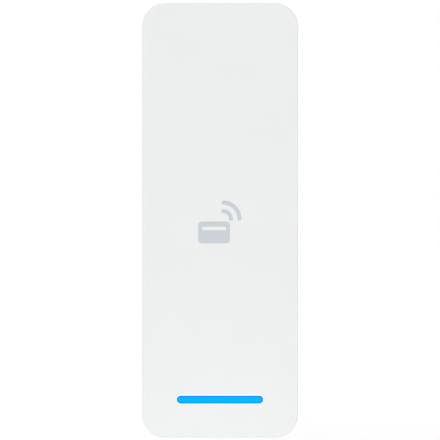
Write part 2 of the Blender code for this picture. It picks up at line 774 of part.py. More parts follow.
def tamper_plunger():
    """The sprung plunger that feels the wall through the plate, with its spring and switch."""
    x, z = TAMPER_PLACE
    switch("tamper_switch", TAMPER_PLACE, mm(2.3), mm(-11.4), mm(1.1))

    stem, collar, pin = mm(0.9), mm(2.2), mm(1.5)
    profile = [
        (0, 0),
        (stem, 0),
        (stem, mm(4.8)),
        (collar, mm(4.8)),
        (collar, mm(5.8)),
        (pin, mm(5.8)),
        (pin, mm(11.9)),
        (pin - mm(0.4), mm(12.3)),
        (0, mm(12.3)),
    ]
    turned("tamper_plunger", profile, (x, mm(-12.6), z), "black_plastic")

    coil_spring("tamper_spring", (x, mm(-11.1), z), mm(3.0), mm(1.55), mm(0.2), turns=3.5)


def coil_spring(name, start, length, coil_radius, wire_radius, turns, steps_per_turn=12):
    """A compression spring of round wire, wound along +Y from its start."""
    curve = bpy.data.curves.new(name, "CURVE")
    curve.dimensions = "3D"
    curve.bevel_depth = wire_radius
    curve.bevel_resolution = 1
    curve.use_fill_caps = True
    steps = int(turns * steps_per_turn)
    spline = curve.splines.new("POLY")
    spline.points.add(steps)
    for step, point in enumerate(spline.points):
        angle = 2 * math.pi * step / steps_per_turn
        along = length * step / steps
        point.co = (coil_radius * math.cos(angle), along, coil_radius * math.sin(angle), 1)
    curve.materials.append(material("spring_steel"))
    spring = bpy.data.objects.new(name, curve)
    spring.location = start
    bpy.context.scene.collection.objects.link(spring)


# --- Fasteners -------------------------------------------------------------------------------


def screws():
    """The screws of the casing and of both boards."""
    casing_head = FLOOR_BACK_Y + GAP
    sets = (
        # name, places, y under the head, which way the head faces,
        # then head radius and height, shank radius and length, radius of the six-lobe drive
        ("housing_screw", HOUSING_SCREWS, casing_head, 1, mm(2.2, 1.3, 1.0, 9.0, 0.9)),
        ("board_screw", BOARD_SCREWS, FRONT_PARTS_Y, -1, mm(1.7, 0.9, 0.8, 6.0, 0.7)),
        ("led_board_screw", LED_BOARD_SCREWS, LED_BOARD_FRONT_Y - GAP, -1, mm(1.2, 0.8, 0.7, 4.5, 0.5)),
    )
    tip, edge, drive_depth = mm(0.5, 0.3, 0.5)
    for name, places, y, facing, (head_radius, head_height, shank_radius, length, drive) in sets:
        profile = [
            (0, -length),
            (shank_radius - tip, -length),
            (shank_radius, -length + tip),
            (shank_radius, 0),
            (head_radius, 0),
            (head_radius, head_height - edge),
            (head_radius - edge, head_height),
            (0, head_height),
        ]
        profile = [(radius, facing * along) for radius, along in profile]
        recess = star(drive, drive * 0.7, steps=1)
        ends = sorted((y + facing * (head_height - drive_depth), y + facing * (head_height + edge)))
        for number, (x, z) in enumerate(places, 1):
            screw = turned(f"{name}_{number}", profile, (x, y, z), "zinc_steel", segments=12)
            cut(screw, prism(f"{name}_drive_{number}", recess, *ends, "zinc_steel", at=(x, z)))


def security_screw():
    """The screw that clamps the housing to the plate's flange, with its washer."""
    head_low, head_high, tip_z = mm(-65.2), mm(-63.9), mm(-57.0)
    dome = mm(0.5)
    profile = [
        (0, head_low),
        (LOCK_HEAD_RADIUS - dome, head_low),
        (LOCK_HEAD_RADIUS - dome * 0.3, head_low + dome * 0.35),
        (LOCK_HEAD_RADIUS, head_low + dome),
        (LOCK_HEAD_RADIUS, head_high),
        (LOCK_SHANK_RADIUS, head_high),
        (LOCK_SHANK_RADIUS, tip_z - mm(0.4)),
        (LOCK_SHANK_RADIUS - mm(0.4), tip_z),
        (0, tip_z),
    ]
    profile = [(radius, along - head_high) for radius, along in profile]
    location = (0, LOCK_Y, head_high)
    screw = turned("security_screw", profile, location, "stainless_steel", axis="Z", segments=20)
    pin = circle(mm(0.4), 8)
    recess = star(mm(1.5), mm(1.1), steps=2)
    socket_floor = head_low + mm(0.8)
    ends = (head_low - OVERLAP, socket_floor)
    at = (0, LOCK_Y)
    cut(screw, prism("security_drive", recess, *ends, "stainless_steel", "Z", [pin], at))

    hole, rim, thickness = mm(1.7, 2.9, 0.4)
    ring = [(hole, 0), (rim, 0), (rim, thickness), (hole, thickness)]
    place = (0, LOCK_Y, mm(-63.6))
    washer = turned("screw_washer", ring, place, "stainless_steel", axis="Z", segments=20)
    attach(screw, washer)


# --- Wall plate ------------------------------------------------------------------------------


def wall_plate():
    """The steel plate that is screwed to the wall, with its hooks, flange and pressed-in nut."""
    height = PLATE_TOP_Z - PLATE_BOTTOM_Z
    middle_z = (PLATE_TOP_Z + PLATE_BOTTOM_Z) / 2
    bend = mm(0.9)  # of the middle of the sheet
    half = PLATE_THICKNESS / 2
    outline = rounded_rect(2 * PLATE_HALF_WIDTH, height, PLATE_CORNER_RADIUS, 6, centre=(0, middle_z))
    slot_width, slot_length = mm(3.9), mm(9)
    holes = [
        rounded_rect(slot_width, slot_length, slot_width / 2, 4, centre=(0, WALL_SCREW_SPACING / 2)),
        rounded_rect(slot_width, slot_length, slot_width / 2, 4, centre=(0, -WALL_SCREW_SPACING / 2)),
        rounded_rect(mm(17), mm(20.5), mm(3), 4, centre=mm(0, -25.3)),
        circle(mm(2.6), 16, TAMPER_PLACE),
    ]
    holes += [circle(mm(1.8), 12, mm(x, z)) for x in (-14, 14) for z in (-50, 50)]
    plate = prism("wall_plate", outline, -PLATE_THICKNESS, 0, "stainless_steel", holes=holes)

    # The hooks and the flange are tongues of the same sheet, bent towards the reader
    root = mm(4)  # how far each tongue's outline reaches into the flat of the plate
    arm_z = PLATE_TOP_Z - half
    hook_corners = [
        (-half, PLATE_TOP_Z - root),
        (-half, arm_z),
        (-HOOK_REACH, arm_z),
        (-HOOK_REACH, HOOK_TOP_Z),
    ]
    hook = strip(rounded_path(hook_corners, bend), PLATE_THICKNESS)
    for label, x in (("hook_left", -HOOK_X), ("hook_right", HOOK_X)):
        start, end = x - HOOK_WIDTH / 2, x + HOOK_WIDTH / 2
        join(plate, prism(label, hook, start, end, "stainless_steel", axis="X"))

    flange_z = PLATE_BOTTOM_Z + half
    flange_corners = [(-half, PLATE_BOTTOM_Z + root), (-half, flange_z), (-FLANGE_REACH, flange_z)]
    flange = strip(rounded_path(flange_corners, bend), PLATE_THICKNESS)
    ends = (-FLANGE_WIDTH / 2, FLANGE_WIDTH / 2)
    join(plate, prism("flange", flange, *ends, "stainless_steel", axis="X"))
    flange_top = PLATE_BOTTOM_Z + PLATE_THICKNESS
    ends = (PLATE_BOTTOM_Z - OVERLAP, flange_top + OVERLAP)
    cut(plate, rod("flange_hole", mm(2.1), *ends, "stainless_steel", "Z", (0, LOCK_Y)))

    # The nut's collar fits the flange's hole, and its body stands on the flange
    bore, collar, body = mm(1.6, 1.95, 2.9)
    collar_end, top = mm(-0.8, 2.3)
    ring = [
        (bore, collar_end),
        (collar, collar_end),
        (collar, GAP),
        (body, GAP),
        (body, top),
        (bore, top),
    ]
    turned("clinch_nut", ring, (0, LOCK_Y, flange_top), "zinc_steel", axis="Z", segments=20)


# --- Assembly --------------------------------------------------------------------------------


def clear_scene():
    """Removes whatever the open file holds."""
    for old in list(bpy.data.objects):
        bpy.data.objects.remove(old)


def build_reader():
    """Everything that comes off the wall as one piece, hung from an empty on the swing's axis."""
    front_cover()
    rear_housing()
    body_gasket()
    housing_trim()
    light_bar()
    antenna()
    main_board()
    packages()
    capacitors()
    buzzer()
    flex_cable()
    network_socket()
    reset_button()
    tamper_plunger()
    screws()
    pieces = [piece for piece in bpy.data.objects if piece.parent is None]
    swing_axis = bpy.data.objects.new("swing_axis", None)
    swing_axis.location = SWING_AXIS
    bpy.context.scene.collection.objects.link(swing_axis)
    for piece in pieces:
        attach(piece, swing_axis)


def main():
    clear_scene()
    build_reader()
    wall_plate()
    security_screw()


main()
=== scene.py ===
"""The looks of a slim wall-mounted card reader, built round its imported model.

Frame: metres, +Z up, the wall is the plane y = 0 and the face looks along -Y. The camera looks
straight at the face. Lengths are written with mm(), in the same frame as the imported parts.
"""

import itertools
import json
import math
import random

import bmesh
import bpy
from mathutils import Matrix, Vector


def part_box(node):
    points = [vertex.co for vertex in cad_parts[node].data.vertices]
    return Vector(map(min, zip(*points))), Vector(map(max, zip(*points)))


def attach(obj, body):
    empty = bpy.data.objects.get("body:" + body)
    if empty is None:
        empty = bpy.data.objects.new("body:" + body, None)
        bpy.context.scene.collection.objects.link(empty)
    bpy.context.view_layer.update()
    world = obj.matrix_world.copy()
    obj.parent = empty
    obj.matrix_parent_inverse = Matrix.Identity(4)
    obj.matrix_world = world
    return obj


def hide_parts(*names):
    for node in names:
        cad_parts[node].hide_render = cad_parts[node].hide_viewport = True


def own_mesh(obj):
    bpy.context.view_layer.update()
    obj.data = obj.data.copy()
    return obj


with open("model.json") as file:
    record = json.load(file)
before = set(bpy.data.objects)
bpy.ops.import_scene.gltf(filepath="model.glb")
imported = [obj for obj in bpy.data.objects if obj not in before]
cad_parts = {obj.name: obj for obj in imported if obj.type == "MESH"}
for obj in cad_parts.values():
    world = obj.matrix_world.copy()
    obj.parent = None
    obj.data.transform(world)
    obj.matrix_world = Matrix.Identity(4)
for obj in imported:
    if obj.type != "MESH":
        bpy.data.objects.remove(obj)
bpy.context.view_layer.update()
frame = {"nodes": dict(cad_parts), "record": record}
nodes = frame["nodes"]
slot_of = {row["node"]: row["material_slot"] for row in frame["record"]["subparts"]}
groups = frame["record"]["behaviour"]["bodies"]
body_of = {node: body for body, members in groups.items() for node in members}


def mm(*values):
    """Millimetres as metres: one number, or a tuple of several."""
    metres = tuple(value / 1000 for value in values)
    return metres if len(metres) > 1 else metres[0]


# Sizes of the outer pieces, read from the frame where it has them
cover_low, cover_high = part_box("front_cover")
foot_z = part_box("rear_housing")[0].z
lens_low, lens_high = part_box("light_bar_lens")
BODY_WIDTH = cover_high.x - cover_low.x
BODY_HEIGHT = cover_high.z - cover_low.z
FACE_Y = cover_low.y
CORNER_RADIUS = mm(7.0)
WALL = mm(2.0)
# The back edge of the cover's wall. Its bosses reach further back
SEAM_Y = max(v.co.y for v in nodes["front_cover"].data.vertices if v.co.x > cover_high.x - WALL)
FACE_EDGE_RADIUS = mm(0.45)
FLANGE_GROW = mm(1.4)  # how far the lens's hidden flange reaches past the lit bar
BAR_WIDTH = lens_high.x - lens_low.x - 2 * FLANGE_GROW
BAR_HEIGHT = lens_high.z - lens_low.z - 2 * FLANGE_GROW
BAR_Z = (lens_low.z + lens_high.z) / 2
BOSS_PLACES = [tuple(sum(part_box(f"housing_screw_{i}"), Vector()).xz / 2) for i in (1, 2, 3, 4)]


# --- Node materials --------------------------------------------------------------------------


class NodeTree:
    """A node tree, built with short calls."""

    def __init__(self, tree):
        self.tree = tree

    def link(self, source, target):
        self.tree.links.new(source, target)

    def feed(self, socket, value):
        """Gives a socket a number or colour, or the output of another node."""
        if isinstance(value, bpy.types.NodeSocket):
            self.link(value, socket)
        else:
            socket.default_value = value

    def add(self, kind, **inputs):
        """A node with values for some of its inputs, named with _ for a space."""
        node = self.tree.nodes.new(kind)
        for name, value in inputs.items():
            self.feed(node.inputs[name.replace("_", " ")], value)
        return node

    def math(self, operation, *values, clamp=False):
        node = self.add("ShaderNodeMath")
        node.operation = operation
        node.use_clamp = clamp
        for socket, value in zip(node.inputs, values):
            self.feed(socket, value)
        return node.outputs[0]

    def distance(self, first, second):
        """How far a point is from the origin of two axes at right angles."""
        squares = [self.math("POWER", value, 2.0) for value in (first, second)]
        return self.math("SQRT", self.math("ADD", *squares))

    def wave(self, value, spacing):
        """A sine wave along a value, between -1 and 1."""
        return self.math("SINE", self.math("MULTIPLY", value, 2 * math.pi / spacing))

    def span(self, value, low, high, start=0.0, end=1.0):
        """A value from start to end, spread between low and high."""
        limits = {"From_Min": start, "From_Max": end, "To_Min": low, "To_Max": high}
        return self.add("ShaderNodeMapRange", Value=value, **limits).outputs["Result"]

    def ramp(self, factor, *stops):
        """A colour ramp. Each stop is (position, colour)."""
        node = self.add("ShaderNodeValToRGB", Fac=factor)
        while len(node.color_ramp.elements) < len(stops):
            node.color_ramp.elements.new(0.5)
        for element, (position, colour) in zip(node.color_ramp.elements, stops):
            element.position = position
            element.color = (*colour, 1)
        return node.outputs["Color"]


class Shading(NodeTree):
    """A material's node tree. Its surface is one Principled BSDF."""

    def __init__(self, name, roughness=0.5, metallic=0.0, **constants):
        self.material = bpy.data.materials.new(name)
        self.material.use_nodes = True
        super().__init__(self.material.node_tree)
        self.surface = self.tree.nodes["Principled BSDF"]
        self.set("Roughness", roughness)
        self.set("Metallic", metallic)
        for socket, value in constants.items():
            self.set(socket.replace("_", " "), value)
        self.places = self.add("ShaderNodeTexCoord").outputs["Object"]

    def set(self, socket, value):
        """A value that is the same all over the surface."""
        self.surface.inputs[socket].default_value = value

    def axes(self):
        """The x, y and z of each point, in metres."""
        return self.add("ShaderNodeSeparateXYZ", Vector=self.places).outputs

    def scaled(self, size, stretch):
        """Places in which a length of size is 1, and stretched along some axes."""
        mapping = self.add("ShaderNodeMapping", Vector=self.places)
        mapping.inputs["Scale"].default_value = [1 / (size * amount) for amount in stretch]
        return mapping.outputs["Vector"]

    def noise(self, size, stretch=(1, 1, 1), detail=3.0, roughness=0.5):
        """Noise whose features are about size across."""
        places = self.scaled(size, stretch)
        settings = {"Scale": 1.0, "Detail": detail, "Roughness": roughness}
        return self.add("ShaderNodeTexNoise", Vector=places, **settings).outputs["Fac"]

    def cells(self, size, stretch=(1, 1, 1), randomness=1.0, metric="EUCLIDEAN"):
        """Voronoi cells that are about size across."""
        places = self.scaled(size, stretch)
        texture = self.add("ShaderNodeTexVoronoi", Vector=places, Scale=1.0, Randomness=randomness)
        texture.distance = metric
        return texture.outputs

    def colour(self, output):
        self.link(output, self.surface.inputs["Base Color"])

    def mottled(self, factor, tone, spread):
        """A tone that gets darker and lighter by spread, with a noise as the factor."""
        darker, lighter = tinted(tone, 1 - spread), tinted(tone, 1 + spread)
        self.colour(self.ramp(factor, (0.3, darker), (0.7, lighter)))

    def rough(self, factor, low, high):
        """Roughness between two values, with a noise as the factor."""
        self.link(self.span(factor, low, high), self.surface.inputs["Roughness"])

    def bump(self, height, distance, strength=1.0):
        """Raises the surface by height times distance, after any bump added before."""
        node = self.add("ShaderNodeBump", Height=height, Distance=distance, Strength=strength)
        earlier = self.surface.inputs["Normal"]
        if earlier.is_linked:
            self.link(earlier.links[0].from_socket, node.inputs["Normal"])
        self.link(node.outputs["Normal"], earlier)


def tinted(colour, amount):
    """A colour made lighter or darker by a factor."""
    return tuple(min(1.0, channel * amount) for channel in colour)


def white_shell():
    """Satin white polycarbonate with a fine spark-eroded grain."""
    shade = Shading("white_shell", Specular_IOR_Level=0.35)
    shade.mottled(shade.noise(mm(18), detail=1.0), (0.862, 0.882, 0.873), 0.005)
    shade.rough(shade.noise(mm(1.5)), 0.44, 0.54)
    shade.bump(shade.noise(mm(0.22), detail=2.0), mm(0.004))
    return shade.material


def face_print():
    """Pad-printed pale grey-blue ink, a little smoother than the shell."""
    shade = Shading("face_print", Specular_IOR_Level=0.3)
    shade.mottled(shade.noise(mm(0.5)), (0.612, 0.648, 0.695), 0.01)
    shade.rough(shade.noise(mm(0.2)), 0.35, 0.45)
    shade.bump(shade.noise(mm(0.12)), mm(0.002))
    return shade.material


def light_bar():
    """Frosted lens lit blue from behind, deeper blue where it meets the slot."""
    shade = Shading("light_bar", 0.35, Specular_IOR_Level=0.02, Emission_Strength=1.0)
    x, _, z = shade.axes()
    half_length = (BAR_WIDTH - BAR_HEIGHT) / 2
    along = shade.math("SUBTRACT", shade.math("ABSOLUTE", x), half_length)
    past_end = shade.math("MAXIMUM", along, 0.0)
    reach = shade.distance(past_end, shade.math("SUBTRACT", z, BAR_Z))
    outward = shade.math("DIVIDE", reach, BAR_HEIGHT / 2, clamp=True)
    uneven = shade.math("MULTIPLY_ADD", shade.noise(mm(0.3)), 0.04, outward)
    glow = shade.ramp(
        uneven,
        (0.0, (0.0, 0.475, 1.0)),
        (0.66, (0.0, 0.465, 1.0)),
        (0.84, (0.0, 0.30, 1.0)),
        (1.0, (0.0, 0.20, 0.95)),
    )
    shade.link(glow, shade.surface.inputs["Emission Color"])
    shade.colour(shade.ramp(outward, (0.0, (0.0, 0.02, 0.06)), (1.0, (0.0, 0.01, 0.05))))
    shade.bump(shade.noise(mm(0.15)), mm(0.003))
    return shade.material


def bar_surround():
    """The clear lip round the lit bar, with a faint painted white glow that stands in for the bar's
    light caught in it.
    """
    # Painted glow: the lip's white emission is painted light, since the lip is no lamp
    shade = Shading("bar_surround", 0.3, Specular_IOR_Level=0.4, Emission_Strength=0.22)
    shade.set("Emission Color", (0.92, 0.97, 1.0, 1.0))
    cloudy = shade.noise(mm(0.6))
    shade.colour(shade.ramp(cloudy, (0.3, (0.90, 0.92, 0.93)), (0.7, (0.94, 0.95, 0.96))))
    shade.rough(shade.noise(mm(0.2)), 0.25, 0.4)
    return shade.material


def brushed_steel(name, tone):
    """Sheet with fine straight brush lines along Z, over broader streaks and patches."""
    shade = Shading(name, metallic=1.0)
    drawn_out = (1, 1, 40)
    lines = shade.noise(mm(0.12), drawn_out, detail=4.0, roughness=0.7)
    streaks = shade.noise(mm(1.1), drawn_out, detail=3.0)
    patches = shade.noise(mm(14), detail=2.0)
    shares = ((lines, 0.4), (streaks, 0.4), (patches, 0.2))
    fine, broad, patchy = [shade.math("MULTIPLY", part, share) for part, share in shares]
    blend = shade.math("ADD", shade.math("ADD", fine, broad), patchy)
    shade.colour(shade.ramp(blend, (0.35, tinted(tone, 0.76)), (0.65, tinted(tone, 1.14))))
    shade.rough(blend, 0.24, 0.42)
    shade.bump(lines, mm(0.006))
    return shade.material


def plated(name, tone, roughness=(0.22, 0.38), grain=0.35, spread=0.09):
    """Bright plating over pressed metal: fine mottling and slightly uneven shine."""
    shade = Shading(name, metallic=1.0)
    patches = shade.noise(mm(grain), detail=5.0, roughness=0.6)
    shade.mottled(patches, tone, spread)
    shade.rough(patches, *roughness)
    shade.bump(shade.noise(mm(grain / 3)), mm(0.004))
    return shade.material


def moulded(name, tone, roughness=(0.4, 0.6), grain=0.15, depth=0.01, spread=0.12):
    """Plain moulded plastic or rubber with an even grain."""
    shade = Shading(name)
    shade.mottled(shade.noise(mm(4), detail=4.0), tone, spread)
    shade.rough(shade.noise(mm(grain * 4)), *roughness)
    shade.bump(shade.noise(mm(grain), detail=2.0), mm(depth))
    return shade.material


def circuit_board():
    """Green solder mask over bundles of fine copper tracks, with tinned vias here and there."""
    shade = Shading("circuit_board", Coat_Weight=0.25)
    x, _, z = shade.axes()
    tracks = []
    for across, stretch, bare_share in ((x, (1, 1, 3), 0.45), (z, (3, 1, 1), 0.60)):
        region = shade.cells(mm(3.6), stretch, metric="CHEBYCHEV")["Color"]
        chance = shade.add("ShaderNodeSeparateColor", Color=region).outputs["Red"]
        tracked = shade.math("GREATER_THAN", chance, bare_share)
        line = shade.math("GREATER_THAN", shade.wave(across, mm(0.62)), 0.0)
        tracks.append(shade.math("MULTIPLY", line, tracked))
    copper_below = shade.math("MAXIMUM", *tracks)
    mask = shade.ramp(copper_below, (0.0, (0.005, 0.060, 0.026)), (1.0, (0.012, 0.120, 0.052)))
    via = shade.cells(mm(2.8), randomness=0.9)["Distance"]
    within_rim = shade.math("LESS_THAN", via, 0.13)
    tinned = shade.math("MULTIPLY", within_rim, shade.math("GREATER_THAN", via, 0.055))
    blend = shade.add("ShaderNodeMix")
    blend.data_type = "RGBA"
    # A Mix node has sockets for each type of data. These are its factor and those for colours
    shade.feed(blend.inputs[0], tinned)
    shade.feed(blend.inputs[6], mask)
    shade.feed(blend.inputs[7], (0.55, 0.53, 0.48, 1))
    shade.colour(blend.outputs[2])
    shade.rough(shade.noise(mm(0.6)), 0.3, 0.45)
    shade.bump(copper_below, mm(0.02), 0.6)
    shade.bump(tinned, mm(0.03), 0.8)
    return shade.material


def led_package():
    """White package whose middle is the yellow phosphor over the chip."""
    shade = Shading("led_package")
    x, _, z = shade.axes()
    spacing = mm(6.5)
    aside = shade.math("SUBTRACT", shade.math("WRAP", x, 0.0, spacing), spacing / 2)
    reach = shade.distance(aside, shade.math("SUBTRACT", z, BAR_Z))
    window = shade.math("DIVIDE", reach, mm(1.0), clamp=True)
    shade.colour(shade.ramp(window, (0.50, (0.85, 0.62, 0.10)), (0.60, (0.86, 0.85, 0.78))))
    shade.rough(shade.noise(mm(0.2)), 0.3, 0.5)
    return shade.material


def ribbon():
    """Flat cable: pale film over conductors half a millimetre apart."""
    shade = Shading("ribbon", Coat_Weight=0.2)
    conductor = shade.math("GREATER_THAN", shade.wave(shade.axes()["X"], mm(0.5)), 0.1)
    shade.colour(shade.ramp(conductor, (0.0, (0.75, 0.77, 0.80)), (1.0, (0.45, 0.46, 0.48))))
    shade.rough(shade.noise(mm(0.8)), 0.3, 0.5)
    shade.bump(conductor, mm(0.02), 0.5)
    return shade.material


def inside_edge(shade, node):
    """How far each point lies inside the outline of a node's box, in metres, seen along Y."""
    low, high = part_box(node)
    x, _, z = shade.axes()
    to_edges = []
    for value, near, far in ((x, low.x, high.x), (z, low.z, high.z)):
        off_centre = shade.math("ABSOLUTE", shade.math("SUBTRACT", value, (near + far) / 2))
        to_edges.append(shade.math("SUBTRACT", (far - near) / 2, off_centre))
    return shade.math("MINIMUM", *to_edges)


def antenna_film():
    """Amber film through which the copper turns behind it show."""
    shade = Shading("antenna_film", Coat_Weight=0.3)
    outer_margin, turn_pitch, turn_width, winding_width = mm(1.15, 1.5, 0.7, 5.6)
    inward = shade.math("SUBTRACT", inside_edge(shade, "antenna_board"), outer_margin)
    turn = shade.math("LESS_THAN", shade.math("WRAP", inward, 0.0, turn_pitch), turn_width)
    past_margin = shade.math("MULTIPLY", turn, shade.math("GREATER_THAN", inward, 0.0))
    wound = shade.math("MULTIPLY", past_margin, shade.math("LESS_THAN", inward, winding_width))
    shade.colour(shade.ramp(wound, (0.0, (0.40, 0.19, 0.045)), (1.0, (0.58, 0.27, 0.10))))
    shade.rough(shade.noise(mm(1.2)), 0.22, 0.36)
    shade.bump(wound, mm(0.03), 0.8)
    return shade.material


def label_film():
    """Silvered polyester with a printed frame and two blank fields."""
    shade = Shading("label", metallic=0.85)
    inward = inside_edge(shade, "rating_label")
    margin, frame_half, divider_half = mm(1.1, 0.12, 0.10)
    frame_line = shade.math("COMPARE", inward, margin, frame_half)
    low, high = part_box("rating_label")
    divider_z = low.z + (high.z - low.z) * 0.42
    divider = shade.math("COMPARE", shade.axes()["Z"], divider_z, divider_half)
    within_frame = shade.math("MULTIPLY", divider, shade.math("GREATER_THAN", inward, margin))
    lines = shade.math("MAXIMUM", frame_line, within_frame)
    shade.colour(shade.ramp(lines, (0.0, (0.62, 0.63, 0.65)), (1.0, (0.10, 0.10, 0.11))))
    grain = shade.noise(mm(0.12), (30, 1, 1), detail=4.0)
    shade.rough(grain, 0.32, 0.5)
    shade.bump(grain, mm(0.003))
    return shade.material


def socket_shield():
    """Tinned shield, with the black insert that lines the opening for the plug."""
    shade = Shading("jack_shield", 0.3)
    low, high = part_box("rj45_jack")
    x, y, z = shade.axes()
    side_wall, front_wall, back_wall, bottom_wall, insert_height = mm(1.95, 1.4, 0.5, 0.05, 12.6)
    inside = shade.math("LESS_THAN", shade.math("ABSOLUTE", x), high.x - side_wall)
    for value, edge in ((y, low.y + front_wall), (z, low.z + bottom_wall)):
        inside = shade.math("MULTIPLY", inside, shade.math("GREATER_THAN", value, edge))
    for value, edge in ((y, high.y - back_wall), (z, low.z + insert_height)):
        inside = shade.math("MULTIPLY", inside, shade.math("LESS_THAN", value, edge))
    shade.colour(shade.ramp(inside, (0.0, (0.66, 0.66, 0.64)), (1.0, (0.025, 0.025, 0.027))))
    shade.link(shade.math("SUBTRACT", 1.0, inside), shade.surface.inputs["Metallic"])
    shade.rough(shade.noise(mm(0.4)), 0.26, 0.4)
    shade.bump(shade.noise(mm(0.15)), mm(0.004))
    return shade.material


def capacitor_can():
    """Dark blue sleeve, with the bare aluminium of the can's top."""
    shade = Shading("capacitor", 0.3)
    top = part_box("capacitor_1")[1].y
    bare = shade.math("GREATER_THAN", shade.axes()["Y"], top - mm(0.03))
    shade.colour(shade.ramp(bare, (0.0, (0.012, 0.020, 0.075)), (1.0, (0.62, 0.62, 0.63))))
    shade.link(bare, shade.surface.inputs["Metallic"])
    shade.rough(shade.noise(mm(0.5)), 0.22, 0.36)
    shade.bump(shade.noise(mm(0.2)), mm(0.004))
    return shade.material


def woven_vent():
    """Pale membrane with a fine square weave."""
    shade = Shading("vent", 0.85)
    x, _, z = shade.axes()
    thread_pitch = mm(0.3)
    weave = shade.math("MULTIPLY", shade.wave(x, thread_pitch), shade.wave(z, thread_pitch))
    shade.colour(shade.ramp(weave, (0.0, (0.70, 0.70, 0.68)), (1.0, (0.84, 0.84, 0.82))))
    shade.bump(weave, mm(0.03))
    return shade.material


def speckled(name, tone, speck, size, amount=0.25, roughness=(0.5, 0.7)):
    """A sintered or filled material with fine lighter specks."""
    shade = Shading(name)
    from_speck = shade.cells(mm(size))["Distance"]
    shade.colour(shade.ramp(from_speck, (amount * 0.5, speck), (amount, tone)))
    shade.rough(shade.noise(mm(size)), *roughness)
    shade.bump(shade.noise(mm(size / 2)), mm(0.015))
    return shade.material


MATERIALS = {
    "white_shell": white_shell(),
    "face_print": face_print(),
    "light_bar": light_bar(),
    "light_guide": moulded("light_guide", (0.78, 0.84, 0.88), (0.25, 0.4), spread=0.03),
    "dark_plastic": moulded("dark_plastic", (0.022, 0.022, 0.024), (0.42, 0.62)),
    "circuit_board": circuit_board(),
    "led_package": led_package(),
    "connector": moulded("connector", (0.80, 0.77, 0.68), (0.35, 0.5), spread=0.04),
    "ribbon": ribbon(),
    "antenna_film": antenna_film(),
    "copper": plated("copper", (0.80, 0.36, 0.20)),
    "ferrite": speckled("ferrite", (0.035, 0.035, 0.036), (0.11, 0.11, 0.11), 0.25),
    "tin_plate": plated("tin_plate", (0.66, 0.66, 0.64), (0.26, 0.36), 0.25, 0.05),
    "gold_plate": plated("gold_plate", (0.86, 0.60, 0.22), (0.15, 0.3)),
    "capacitor": capacitor_can(),
    "seal": moulded("seal", (0.13, 0.14, 0.15), (0.65, 0.85), 0.1, 0.02),
    "button_rubber": moulded("button_rubber", (0.15, 0.16, 0.17), (0.6, 0.8), 0.1, 0.02),
    "label": label_film(),
    "vent": woven_vent(),
    "screw_steel": plated("screw_steel", (0.62, 0.64, 0.67)),
    "spring_steel": plated("spring_steel", (0.52, 0.52, 0.53), (0.18, 0.3)),
    "stainless_plate": brushed_steel("stainless_plate", (0.58, 0.58, 0.57)),
    "stainless_screw": plated("stainless_screw", (0.62, 0.62, 0.61), (0.16, 0.3), 0.2),
}


# --- Mesh tools ------------------------------------------------------------------------------

MERGE_DISTANCE = mm(0.001)
SMOOTH_BELOW = math.radians(32)  # edges that turn less are shaded as one surface
HARD_ABOVE = math.radians(30)  # edges that turn more are rounded in refined()
FLAT_BELOW = math.radians(0.6)  # faces that differ less are joined in refined()


def whole_turn(steps):
    """Angles spread evenly over a turn."""
    return [2 * math.pi * step / steps for step in range(steps)]


def headings(path):
    """The direction of an open line at each of its points."""
    after, before = [*path[1:], path[-1]], [path[0], *path[:-1]]
    return [(far - near).normalized() for far, near in zip(after, before)]


def rounded_rect(width, height, radius, segments, centre=(0, 0)):
    """A rounded rectangle, anticlockwise, as (x, z) points."""
    points = []
    for quarter, (side_x, side_z) in enumerate(((1, 1), (-1, 1), (-1, -1), (1, -1))):
        middle_x = centre[0] + side_x * (width / 2 - radius)
        middle_z = centre[1] + side_z * (height / 2 - radius)
        for step in range(segments + 1):
            angle = math.pi / 2 * (quarter + step / segments)
            spoke = radius * Vector((math.cos(angle), math.sin(angle)))
            points.append(tuple(Vector((middle_x, middle_z)) + spoke))
    # Where a side has no straight stretch, two arcs share their end points
    return [point for i, point in enumerate(points) if math.dist(point, points[i - 1]) > MERGE_DISTANCE]


def casing_ring(inset, y):
    """The casing's outline, moved in by inset, at depth y."""
    width, height = BODY_WIDTH - 2 * inset, BODY_HEIGHT - 2 * inset
    return [(x, y, z) for x, z in rounded_rect(width, height, CORNER_RADIUS - inset, 20)]


def bar_ring(grow, y):
    """The lit bar's round-ended outline, grown by an amount, at depth y."""
    width, height = BAR_WIDTH + 2 * grow, BAR_HEIGHT + 2 * grow
    return [(x, y, z) for x, z in rounded_rect(width, height, height / 2, 12, (0, BAR_Z))]


def round_ring(place, radius, y):
    """A circle round an (x, z) place, at depth y."""
    x, z = place
    return [(x + radius * math.cos(a), y, z + radius * math.sin(a)) for a in whole_turn(32)]


def quarter_round(inset, y, radius, into, steps):
    """Points of a rounded edge as (inset, y), from the flank to the face. into is the y direction
    from the face into the solid."""
    points = []
    for step in range(steps + 1):
        angle = math.pi / 2 * step / steps
        from_flank, from_face = radius * (1 - math.cos(angle)), radius * (1 - math.sin(angle))
        points.append((inset + from_flank, y + into * from_face))
    return points


def piece(name, mesh_data, slot, body, replaced=(), material=None):
    """Makes the object, gives it its slot's material and puts it on its body."""
    bmesh.ops.recalc_face_normals(mesh_data, faces=mesh_data.faces)
    mesh = bpy.data.meshes.new(name)
    mesh_data.to_mesh(mesh)
    mesh_data.free()
    mesh.materials.append(material or MATERIALS[slot])
    mesh.shade_smooth()
    mesh.set_sharp_from_angle(angle=SMOOTH_BELOW)
    made = bpy.data.objects.new(name, mesh)
    bpy.context.scene.collection.objects.link(made)
    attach(made, body)
    if replaced:
        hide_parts(*replaced)
    return made


def flat_shading(made):
    """Keeps large flat faces flat where they meet small round ones."""
    weighted = made.modifiers.new("Weighted normals", "WEIGHTED_NORMAL")
    weighted.keep_sharp = True
    weighted.weight = 100


def add_loop(mesh_data, points):
    """A vertex at each point."""
    return [mesh_data.verts.new(point) for point in points]


